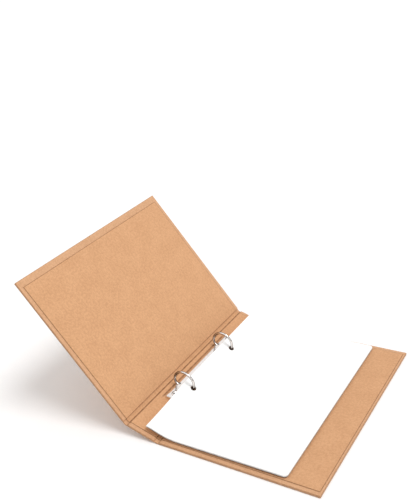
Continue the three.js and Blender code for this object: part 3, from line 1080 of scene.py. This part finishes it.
def turned(name, profile, sides=48):
    """A closed body of revolution about Z from (radius, level) points, axis to axis."""
    bm = bmesh.new()
    line = [bm.verts.new((r, 0, z)) for r, z in profile]
    edges = [bm.edges.new(pair) for pair in zip(line, line[1:])]
    bmesh.ops.spin(
        bm, geom=line + edges, axis=(0, 0, 1), cent=(0, 0, 0), angle=2 * math.pi, steps=sides,
        use_merge=True,
    )
    bmesh.ops.remove_doubles(bm, verts=bm.verts, dist=1e-7)
    bmesh.ops.recalc_face_normals(bm, faces=bm.faces)
    return link_shape(name, bm)


# Pages


def page_line(settings, offset):
    """Section of a page from its binding edge, round the rising bend, to its fore edge."""
    pile = 5 * settings.pitch + settings.thickness
    flat = -(RING_CENTRE.z - LINER_TOP) + PAGE_CLEARANCE + pile / 2
    c, s = math.cos(PAGE_SLOPE), math.sin(PAGE_SLOPE)
    bend = (-flat - PAGE_STRAIGHT * s) / (1 - c)
    flat_start = PAGE_STRAIGHT * c + bend * s
    flat_length = PAGE_WIDTH - (PAGE_STRAIGHT - PAGE_START) - bend * PAGE_SLOPE
    line = [
        (reach * c + offset * s, -reach * s + offset * c)
        for reach in steps(PAGE_START, PAGE_STRAIGHT, 16)
    ]
    line += [
        (flat_start - (bend - offset) * math.sin(a), flat + bend - (bend - offset) * math.cos(a))
        for a in steps(PAGE_SLOPE, 0, 24)[1:]
    ]
    line += [(x, flat + offset) for x in steps(flat_start, flat_start + flat_length, 26)[1:]]
    return line


def page(number, count, settings):
    offset = ((count + 1) / 2 - number) * settings.pitch
    line = page_line(settings, offset)
    lengths = running_length([(x, z, 0) for x, z in line])
    reach, corner, half = line[-1][0], settings.corner, HALF_PAGE
    rounding = [half - corner * (1 - math.sin(a)) for a in steps(0, math.pi / 2, 10)]
    ys = steps(0, rounding[0], 22)[:-1] + rounding
    ys = [-y for y in ys[:0:-1]] + ys
    shift = -0.6 * MM + 0.3 * MM * math.sin((number - 1) * 2.4)
    # pages under the top one get a painted shade on their cut edges, deeper down the pile
    pile_edge_shade = min(1.0, max(0.0, (number - 2) / 3))
    surface = Surface()
    columns = []
    for (x, z), length in zip(line, lengths):
        points, sheets, shares = [], [], []
        for y in ys:
            inset = max(0.0, corner - (half - abs(y)))
            trim = corner - math.sqrt(max(0.0, corner**2 - inset**2))
            beyond = max(0.0, x - (reach - corner))
            px = x - trim * beyond / corner
            free = min(1.0, max(0.0, (-y - 40 * MM) / (half - 40 * MM)))
            free = math.sin(free * math.pi / 2) * smooth(-y, 40 * MM, 56 * MM)
            sag = settings.droop * free * max(0.0, 1 - length / (38 * MM)) ** 2.2
            ripple = 0.12 * MM * math.sin(y / MM * 0.05 + number) * smooth(length, 30 * MM, 80 * MM)
            lift = settings.bulge * smooth(y, 55 * MM, half)
            lift *= smooth(length, 15 * MM, 50 * MM) * (1 - smooth(length, 60 * MM, 150 * MM))
            points.append((px - 0.2 * sag, y + shift, z - sag + lift + ripple * 0.5))
            sheets.append((0.3 * number + length, y))
            to_edge = min(half - abs(y), reach - x)
            shares.append(pile_edge_shade * (1 - smooth(to_edge, 0.1 * MM, 0.9 * MM)))
        columns.append(surface.column(points, sheets, shares))
    surface.bridge(columns)
    face_up(surface, 0)
    made = surface.made(
        f"punched_page_{number}",
        Matrix.Translation(RING_CENTRE) @ Matrix.Rotation(settings.skew, 4, "Z"),
    )
    thicken(made, settings.thickness, offset=0.0)
    at = Vector((12.2 * MM * math.cos(PAGE_SLOPE), 0, -12.2 * MM * math.sin(PAGE_SLOPE)))
    cutter = rods(
        "punch",
        Matrix.Translation(RING_CENTRE + at) @ Matrix.Rotation(PAGE_SLOPE, 4, "Y"),
        [(0, -RING_SPACING / 2), (0, RING_SPACING / 2)], settings.hole, -4 * MM, 4 * MM, 40,
    )
    cut(made, cutter)
    drop(cutter)
    return made


# Operators


class ALBUM_OT_materials(bpy.types.Operator):
    """Make the papers, the board and the metals"""

    bl_idname = "album.materials"
    bl_label = "Make Materials"

    def execute(self, context):
        covers, rings = context.scene.album_covers, context.scene.album_rings
        groups = {
            "fibres": paper_fibres_group(), "wear_and_shade": edge_wear_and_shade_group(),
            "metal": handled_metal_group(),
        }
        kraft = {"dark": (0.66, 0.58, 0.5), "light": (1.2, 1.28, 1.4), "bump": 0.07 * MM}
        # the cover paper's worn colour is wear on board edges and corners, and painted shade in
        # hinge creases
        paper_material(
            "kraft_cover", groups, covers.outer_colour,
            look={"Cloud": 0.55, "Grain": 0.6, "Fibre": 0.75, "Fleck": 0.6},
            worn_and_shaded=(0.5, 0.43, 0.37), wear_and_shade=0.9, **kraft,
        )
        # the lining's worn colour is only painted shade: at its cut edges, in hinge creases and by
        # the ring cover
        paper_material(
            "kraft_lining", groups, covers.lining_colour,
            look={"Cloud": 0.55, "Grain": 0.6, "Fibre": 0.7, "Fleck": 0.55},
            worn_and_shaded=(0.33, 0.27, 0.21), wear_and_shade=1.0, **kraft,
        )
        # the pages' worn colour is only painted shade on the cut edges of the pile
        paper_material(
            "page_paper", groups, context.scene.album_pages.colour,
            dark=(0.93, 0.92, 0.9), light=(1.04, 1.04, 1.04),
            look={"Cloud": 0.2, "Grain": 0.35, "Fibre": 0.3, "Fleck": 0.0},
            worn_and_shaded=(0.3, 0.27, 0.25), wear_and_shade=1.0, bump=0.02 * MM,
        )
        board_material("greyboard", groups, covers.board_colour)
        metal_material(
            "nickel", groups, rings.nickel_colour,
            {"Smooth": 0.08, "Dull": 0.22, "Smear size": 120.0, "Hairlines": 0.25}, 0.002 * MM,
        )
        metal_material(
            "blade_steel", groups, rings.steel_colour,
            {"Smooth": 0.28, "Dull": 0.5, "Smear size": 160.0, "Hairlines": 0.8}, 0.01 * MM,
        )
        for name, material in (
            ("back_board", "greyboard"), ("front_board", "greyboard"),
            ("spine_board", "greyboard"), ("blade_right", "blade_steel"),
            ("blade_left", "blade_steel"),
        ):
            slots = frame["nodes"][name].data.materials
            slots.clear()
            slots.append(material_of(material))
        return {"FINISHED"}


class ALBUM_OT_covers(bpy.types.Operator):
    """Make the two covers: wrapped outer paper and lining"""

    bl_idname = "album.covers"
    bl_label = "Make Covers"

    def execute(self, context):
        settings = context.scene.album_covers
        front_from = -SPINE_PITCH - HALF_GROOVE
        front_width = COVER_WIDTH - LINER_MARGIN_FRONT
        for word, place, sheet_from, direction, lining_width in (
            ("back", BACK_PANEL, HALF_GROOVE, 1, BACK_LINER_WIDTH),
            ("front", FRONT_PANEL, front_from, -1, front_width),
        ):
            wrap = cover_wrap(word + "_cover_wrap", place, settings, sheet_from, direction)
            finish_piece(wrap, "kraft_cover", word + "_cover", [word + "_cover_paper"])
            lining = cover_lining(
                word + "_lining", place, settings, lining_width, sheet_from, direction
            )
            finish_piece(lining, "kraft_lining", word + "_cover", [word + "_liner"])
        return {"FINISHED"}


# Where the ring cover's painted shadow lies on the spine's lining
SHADE_SETS_IN = 28.2 * MM, 28.9 * MM  # from the back hinge, across the spine
SHADE_ENDS = 29.9 * MM, 30.9 * MM
SHADE_ENDS_ALONG = 60 * MM, 64 * MM


def shield_shade(x, y):
    """Share of the painted shadow that the ring cover casts on the lining, a dark line by its foot.
    """
    across = smooth(-x, *SHADE_SETS_IN) * (1 - smooth(-x, *SHADE_ENDS))
    return across * (1 - smooth(abs(y), *SHADE_ENDS_ALONG))


class ALBUM_OT_spine(bpy.types.Operator):
    """Make the spine's outer paper and lining, pierced for the rivets"""

    bl_idname = "album.spine"
    bl_label = "Make Spine"

    def execute(self, context):
        settings = context.scene.album_covers
        right = -HALF_GROOVE - OVERLAP
        left = -SPINE_PITCH + HALF_GROOVE + OVERLAP
        xs = steps(right, left, 10)
        edge_of_shade = [-d * MM for d in (28.2, 28.7, 29.2, 29.7, 30.2, 30.7, 31.2, 31.7)]
        shaded = sorted([*xs[:-2], *edge_of_shade, left], reverse=True)

        def still(point):
            return point

        wrap = strip_wrap(
            "spine_wrap", SPINE_PANEL, settings, [(x, 0.0, WRAP_TOP, 0.0, still) for x in xs], 0.0
        )
        lining = strip_lining(
            "spine_lining", SPINE_PANEL, settings,
            [(x, LINER_TOP, lambda y, x=x: shield_shade(x, y), still) for x in shaded], 0.0,
        )
        holes = rods(
            "rivet_holes", SPINE_PANEL,
            [(-RING_FROM_PIVOT, end * RIVET_SPACING / 2) for end in (-1, 1)],
            PIERCED_RADIUS, -2 * MM, 6 * MM,
        )
        for obj, material, stood_for in (
            (wrap, "kraft_cover", "spine_paper"), (lining, "kraft_lining", "spine_liner"),
        ):
            cut(obj, holes)
            finish_piece(obj, material, "spine", [stood_for])
        drop(holes)
        return {"FINISHED"}


class ALBUM_OT_hinges(bpy.types.Operator):
    """Make the paper hinges on both sides of the spine"""

    bl_idname = "album.hinges"
    bl_label = "Make Hinges"

    def execute(self, context):
        settings = context.scene.album_covers
        make_hinge(
            "back", BACK_HINGE_FRAME, SPINE_LIFT, settings, 0.0
        )
        make_hinge(
            "front", FRONT_HINGE_FRAME, COVER_LIFT, settings,
            -SPINE_PITCH,
        )
        return {"FINISHED"}


class ALBUM_OT_ring_cover(bpy.types.Operator):
    """Make the metal cover over the ring blades"""

    bl_idname = "album.ring_cover"
    bl_label = "Make Ring Cover"

    def execute(self, context):
        made = ring_shield(context.scene.album_rings)
        finish_piece(made, "nickel", "spine", ["ring_shield"], sharp=40)
        return {"FINISHED"}


class ALBUM_OT_rings(bpy.types.Operator):
    """Make the four half rings"""

    bl_idname = "album.rings"
    bl_label = "Make Rings"

    def execute(self, context):
        settings = context.scene.album_rings
        tree = wire_rings_tree()
        for hand, word in ((1, "right"), (-1, "left")):
            line = wire_curve("rings_" + word, half_ring_line(settings, hand))
            made = run_geometry(
                line, tree,
                {"Wire radius": settings.wire_radius, "Sides": 28, "Spacing": RING_SPACING,
                 "Material": material_of("nickel")},
            )
            made.data.transform(RING_FRAME)
            finish_piece(
                made, "nickel", "ring_" + word,
                [f"half_ring_{word}_near", f"half_ring_{word}_far"], sharp=50,
            )
        return {"FINISHED"}


class ALBUM_OT_rivets(bpy.types.Operator):
    """Make the two rivets, with a domed head outside and a flange inside"""

    bl_idname = "album.rivets"
    bl_label = "Make Rivets"

    def execute(self, context):
        settings = context.scene.album_rings
        head = -PIVOT_LEVEL - SHIELD_FOOT - GLUE
        radius, height, rim = settings.rivet_radius, settings.rivet_height, 0.3 * MM
        shank, flange = SHANK_RADIUS, FLANGE_RADIUS
        flange_foot = settings.shield_height + 0.05 * MM
        dome = [
            (radius * math.sin(a), head - rim - (height - rim) * math.cos(a))
            for a in steps(0, math.pi / 2, 12)
        ]
        profile = [
            *dome, (radius, head - 0.1 * MM), (radius - 0.1 * MM, head), (shank, head),
            (shank, flange_foot), (flange - 0.1 * MM, flange_foot),
            (flange, flange_foot + 0.2 * MM), (flange - 0.2 * MM, flange_foot + 0.5 * MM),
            (flange - 0.9 * MM, flange_foot + 0.84 * MM), (2.5 * MM, flange_foot + 0.85 * MM),
            (1.7 * MM, flange_foot + 0.5 * MM), (1.3 * MM, flange_foot - 0.6 * MM),
            (0.0, flange_foot - 0.8 * MM),
        ]
        made = run_geometry(
            turned("rivets", profile), rivet_pair_tree(),
            {"Spacing": RIVET_SPACING, "Material": material_of("nickel")},
        )
        made.data.transform(RING_FRAME)
        finish_piece(made, "nickel", "spine", ["rivet_near", "rivet_far"], sharp=40)
        return {"FINISHED"}


class ALBUM_OT_pages(bpy.types.Operator):
    """Make the punched pages"""

    bl_idname = "album.pages"
    bl_label = "Make Pages"

    def execute(self, context):
        settings = context.scene.album_pages
        count = sum(name.startswith("page_") for name in frame["nodes"])
        bodies = {1: "page_top", 2: "page_second"}
        for number in range(1, count + 1):
            made = page(number, count, settings)
            finish_piece(
                made, "page_paper", bodies.get(number, "page_pile"), [f"page_{number}"]
            )
        return {"FINISHED"}


TABLE_HALF_SIZE = 6.0
TABLE_BELOW = 0.05 * MM  # the table lies this far under the cover
KEY_ANGLE = math.radians(24)
KEY_DIRECTION = Vector((0.45, 0.02, 0.85))  # towards the light
CAMERA_PLACE = (0.2992, -0.5166, 0.4692)
CAMERA_ANGLES = (33.711, 27.506, -7.481)  # azimuth, elevation and roll in degrees
CAMERA_SHIFT = (-0.056, 0.0386)


class ALBUM_OT_stage(bpy.types.Operator):
    """Make the table, the light and the camera"""

    bl_idname = "album.stage"
    bl_label = "Make Stage"

    def execute(self, context):
        settings, scene = context.scene.album_stage, context.scene
        scene.view_settings.view_transform = "Standard"
        half = TABLE_HALF_SIZE
        corners = [(-half, -half, 0), (half, -half, 0), (half, half, 0), (-half, half, 0)]
        mesh = bpy.data.meshes.new("table")
        mesh.from_pydata(corners, [], [(0, 1, 2, 3)])
        mesh.transform(Matrix.Translation((0, 0, -TABLE_BELOW)))
        table = link("table", mesh)
        made, tree, surface = new_material("table_top")
        grain = noise_at(tree, node(tree, "ShaderNodeTexCoord").outputs["Object"], 40.0)
        colour = mixed(
            tree, between(tree, grain, 0.3, 0.7), opaque(settings.floor_colour),
            shade(settings.floor_colour, (0.99, 0.99, 0.99)),
        )
        tree.links.new(colour, surface.inputs["Base Color"])
        surface.inputs["Roughness"].default_value = 0.9
        surface.inputs["Specular IOR Level"].default_value = 0.1
        mesh.materials.append(made)

        world = bpy.data.worlds.new("room")
        scene.world = world
        world.use_nodes = True
        tree = world.node_tree
        background = tree.nodes["Background"]
        up = node(
            tree, "ShaderNodeSeparateXYZ",
            {0: node(tree, "ShaderNodeTexCoord").outputs["Generated"]},
        ).outputs["Z"]
        path = node(tree, "ShaderNodeLightPath").outputs
        even = mixed(tree, between(tree, up, -0.05, 0.6), (0.8, 0.8, 0.8, 1), (1, 1, 1, 1))
        strip = times(tree, between(tree, up, 0.44, 0.47), between(tree, up, 0.56, 0.53))
        lamps = math_node(tree, "SUBTRACT", between(tree, up, 0.1, 0.26), strip)
        contrast = mixed(tree, lamps, (0.02, 0.02, 0.022, 1), (1.45, 1.45, 1.45, 1))
        colour = mixed(tree, path["Is Glossy Ray"], even, contrast)
        seen = path["Is Camera Ray"]
        tree.links.new(mixed(tree, seen, colour, (1, 1, 1, 1)), background.inputs["Color"])
        tree.links.new(
            math_node(tree, "MAXIMUM", seen, settings.sky), background.inputs["Strength"]
        )

        light = bpy.data.lights.new("key", "SUN")
        light.energy, light.angle = settings.key, KEY_ANGLE
        lamp = bpy.data.objects.new("key", light)
        scene.collection.objects.link(lamp)
        lamp.rotation_mode = "QUATERNION"
        lamp.rotation_quaternion = (-KEY_DIRECTION).to_track_quat("-Z", "Y")

        azimuth, elevation, roll = (math.radians(a) for a in CAMERA_ANGLES)
        looks = Vector((
            -math.sin(azimuth) * math.cos(elevation), math.cos(azimuth) * math.cos(elevation),
            -math.sin(elevation),
        ))
        lens = bpy.data.cameras.new("camera")
        lens.lens = settings.lens
        lens.shift_x, lens.shift_y = CAMERA_SHIFT
        lens.clip_start, lens.clip_end = 0.01, 50
        camera = bpy.data.objects.new("camera", lens)
        scene.collection.objects.link(camera)
        camera.location = CAMERA_PLACE
        camera.rotation_mode = "QUATERNION"
        camera.rotation_quaternion = looks.to_track_quat("-Z", "Y") @ Quaternion((0, 0, 1), roll)
        scene.camera = camera
        return {"FINISHED"}


OPERATORS = (
    ALBUM_OT_materials, ALBUM_OT_covers, ALBUM_OT_spine, ALBUM_OT_hinges, ALBUM_OT_ring_cover,
    ALBUM_OT_rings, ALBUM_OT_rivets, ALBUM_OT_pages, ALBUM_OT_stage,
)


class ALBUM_PT_panel(bpy.types.Panel):
    """Lists what makes the album"""

    bl_idname = "ALBUM_PT_panel"
    bl_label = "Scrapbook Album"
    bl_space_type = "VIEW_3D"
    bl_region_type = "UI"
    bl_category = "Album"

    def draw(self, context):
        for operator in OPERATORS:
            self.layout.operator(operator.bl_idname)


SETTINGS = {
    "album_covers": AlbumCoverSettings, "album_rings": AlbumRingSettings,
    "album_pages": AlbumPageSettings, "album_stage": AlbumStageSettings,
}


def register():
    for cls in (*SETTINGS.values(), *OPERATORS, ALBUM_PT_panel):
        bpy.utils.register_class(cls)
    for name, cls in SETTINGS.items():
        setattr(bpy.types.Scene, name, PointerProperty(type=cls))


def unregister():
    for name in SETTINGS:
        delattr(bpy.types.Scene, name)
    for cls in (ALBUM_PT_panel, *OPERATORS[::-1], *SETTINGS.values()):
        bpy.utils.unregister_class(cls)


def main():
    register()
    for step in (
        bpy.ops.album.materials, bpy.ops.album.covers, bpy.ops.album.spine,
        bpy.ops.album.hinges, bpy.ops.album.ring_cover, bpy.ops.album.rings,
        bpy.ops.album.rivets, bpy.ops.album.pages, bpy.ops.album.stage,
    ):
        step()


if __name__ == "__main__":
    main()
